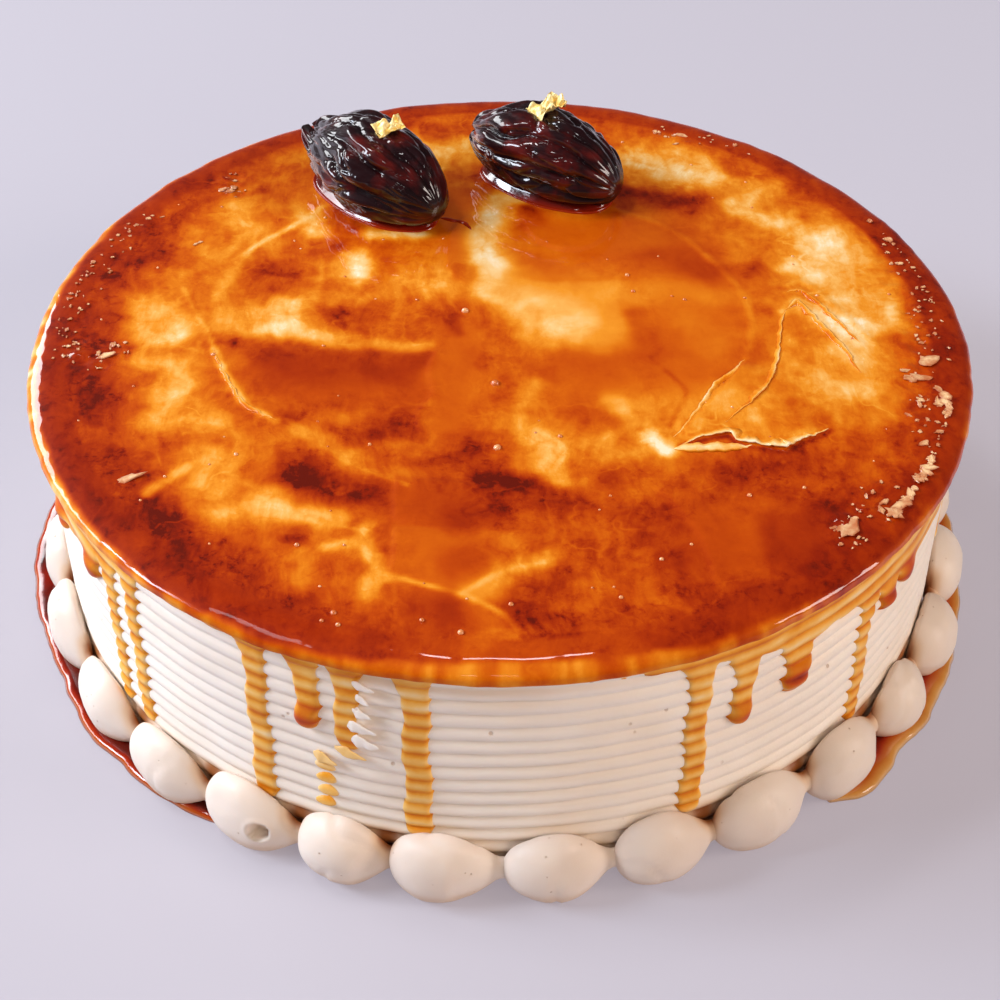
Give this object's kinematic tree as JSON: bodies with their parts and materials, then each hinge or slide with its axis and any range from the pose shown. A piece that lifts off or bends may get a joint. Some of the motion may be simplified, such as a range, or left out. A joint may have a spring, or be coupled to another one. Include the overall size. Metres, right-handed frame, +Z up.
{
  "type": "date cake",
  "caption": "Round cream cake with a combed side, a poured caramel glaze running down it, a piped shell border, glazed dates with gold leaf on top and caramel pools round its foot.",
  "frame": {"origin": "middle of the cake's flat base, on the surface it stands on", "axes": "+Z up, through the middle of the round cake; the dates lie on the +Y half of the top, and -Y is the front"},
  "size_m": [0.2147, 0.2057, 0.0808],
  "materials": {
    "cream": "satin",
    "piped_cream": "satin",
    "caramel_glaze": "gloss",
    "caramel_pool": "gloss",
    "date_skin": "gloss",
    "gold_leaf": "crumpled leaf"
  },
  "bodies": {
    "root": {"cream_cake": "cream", "caramel_glaze": "caramel_glaze", "shell_01": "piped_cream", "shell_02": "piped_cream", "shell_03": "piped_cream", "shell_04": "piped_cream", "shell_05": "piped_cream", "shell_06": "piped_cream", "shell_07": "piped_cream", "shell_08": "piped_cream", "shell_09": "piped_cream", "shell_10": "piped_cream", "shell_11": "piped_cream", "shell_12": "piped_cream", "shell_13": "piped_cream", "shell_14": "piped_cream", "shell_15": "piped_cream", "shell_16": "piped_cream", "shell_17": "piped_cream", "shell_18": "piped_cream", "shell_19": "piped_cream", "shell_20": "piped_cream", "shell_21": "piped_cream", "shell_22": "piped_cream", "shell_23": "piped_cream", "shell_24": "piped_cream", "shell_25": "piped_cream", "shell_26": "piped_cream", "shell_27": "piped_cream", "shell_28": "piped_cream", "date_left": "date_skin", "date_right": "date_skin", "caramel_pool_left": "caramel_pool", "caramel_pool_right": "caramel_pool"}
  },
  "joints": []
}
